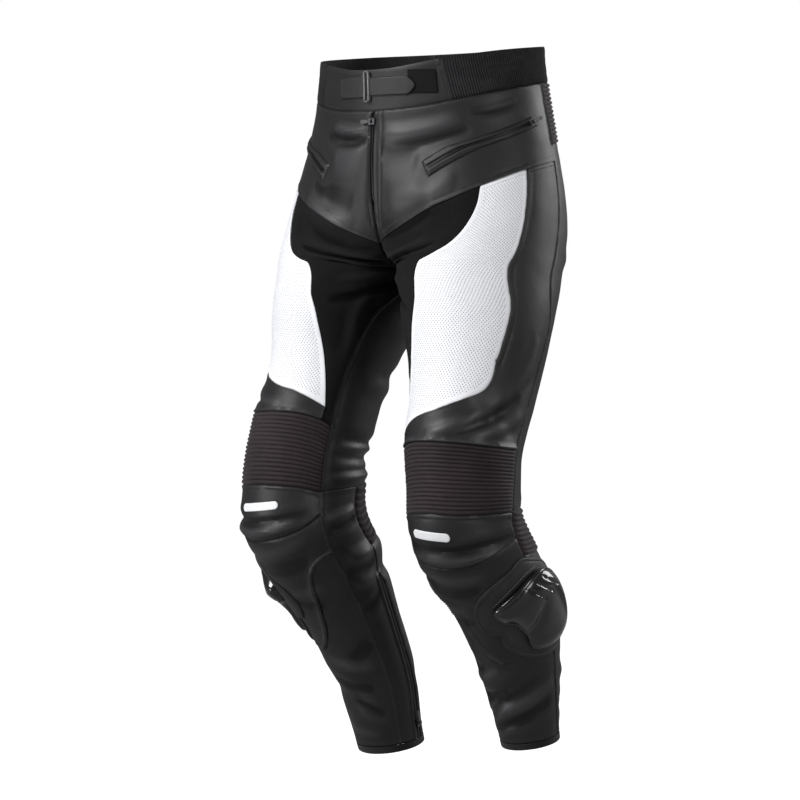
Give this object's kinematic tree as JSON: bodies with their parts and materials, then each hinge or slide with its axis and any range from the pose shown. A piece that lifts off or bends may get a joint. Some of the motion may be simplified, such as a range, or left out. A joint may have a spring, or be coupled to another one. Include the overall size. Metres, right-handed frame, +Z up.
{
  "type": "motorcycle trousers",
  "caption": "Motorcycle trousers of leather and stretch cloth in worn form with bent knees, ribbed knee panels, slider pucks, zips and a waist strap, open at the waist and hems.",
  "frame": {"origin": "middle of the waist, where the wearer holds the trousers up", "axes": "+X to the wearer's left, -Y to the front, +Z up"},
  "size_m": [0.4641, 0.3318, 0.9887],
  "materials": {
    "black_leather": "smooth semi-matte leather with a fine grain",
    "white_leather": "perforated leather, semi-matte",
    "stretch_cloth": "matte woven stretch cloth",
    "ribbed_stretch": "ribbed stretch cloth",
    "knit_elastic": "ribbed knit elastic",
    "glossy_hard_plastic": "glossy moulded",
    "matte_plastic": "matte",
    "dark_metal": "dark satin",
    "white_rubber": "matte moulded"
  },
  "bodies": {
    "garment": {"back_knee_left": "ribbed_stretch", "back_knee_right": "ribbed_stretch", "calf_inner_left": "black_leather", "calf_inner_right": "black_leather", "calf_left_slider": "dark_metal", "calf_outer_left": "black_leather", "calf_outer_right": "black_leather", "calf_right_slider": "dark_metal", "calf_zip_left": "matte_plastic", "calf_zip_right": "matte_plastic", "fly_slider": "dark_metal", "fly_zip": "matte_plastic", "hem_band_left": "stretch_cloth", "hem_band_right": "stretch_cloth", "inner_thigh_left": "stretch_cloth", "inner_thigh_right": "stretch_cloth", "knee_accordion_left": "ribbed_stretch", "knee_accordion_right": "ribbed_stretch", "knee_cup_left": "black_leather", "knee_cup_right": "black_leather", "knee_tab_left": "white_rubber", "knee_tab_right": "white_rubber", "lumbar_accordion": "ribbed_stretch", "outer_thigh_left": "black_leather", "outer_thigh_right": "black_leather", "pocket_left_slider": "dark_metal", "pocket_right_slider": "dark_metal", "pocket_welt_left": "matte_plastic", "pocket_welt_right": "matte_plastic", "seat_left": "black_leather", "seat_right": "black_leather", "shin_lower_left": "black_leather", "shin_lower_right": "black_leather", "shin_upper_left": "black_leather", "shin_upper_right": "black_leather", "slider_landing_left": "matte_plastic", "slider_landing_right": "matte_plastic", "slider_puck_left": "glossy_hard_plastic", "slider_puck_right": "glossy_hard_plastic", "strap_base": "black_leather", "strap_hook_pad": "stretch_cloth", "strap_ring": "matte_plastic", "strap_tab": "black_leather", "thigh_inset_left": "white_leather", "thigh_inset_right": "white_leather", "waistband_elastic": "knit_elastic", "waistband_front": "black_leather", "yoke_left": "black_leather", "yoke_right": "black_leather"},
    "pocket_left_tab": {"pocket_left_pull": "dark_metal"},
    "calf_left_tab": {"calf_left_pull": "dark_metal"},
    "pocket_right_tab": {"pocket_right_pull": "dark_metal"},
    "calf_right_tab": {"calf_right_pull": "dark_metal"},
    "fly_tab": {"fly_pull": "dark_metal"}
  },
  "joints": [
    {"name": "pocket_left_pull_hinge", "type": "hinge", "parent": "garment", "child": "pocket_left_tab", "pos_m": [0.19445, -0.01949, -0.08969], "axis": [0.3291, 0.3216, -0.8878], "range_deg": [0, 165]},
    {"name": "calf_left_pull_hinge", "type": "hinge", "parent": "garment", "child": "calf_left_tab", "pos_m": [0.07599, 0.07063, -0.90791], "axis": [-0.2056, -0.9023, -0.3788], "range_deg": [0, 165]},
    {"name": "pocket_right_pull_hinge", "type": "hinge", "parent": "garment", "child": "pocket_right_tab", "pos_m": [-0.19445, -0.01949, -0.08969], "axis": [0.3291, -0.3216, 0.8878], "range_deg": [0, 165]},
    {"name": "calf_right_pull_hinge", "type": "hinge", "parent": "garment", "child": "calf_right_tab", "pos_m": [-0.07155, 0.06075, -0.92306], "axis": [-0.2025, 0.8922, 0.4037], "range_deg": [0, 165]},
    {"name": "fly_pull_hinge", "type": "hinge", "parent": "garment", "child": "fly_tab", "pos_m": [0, -0.13178, -0.08785], "axis": [0, 0.0317, 0.9995], "range_deg": [0, 165]}
  ]
}
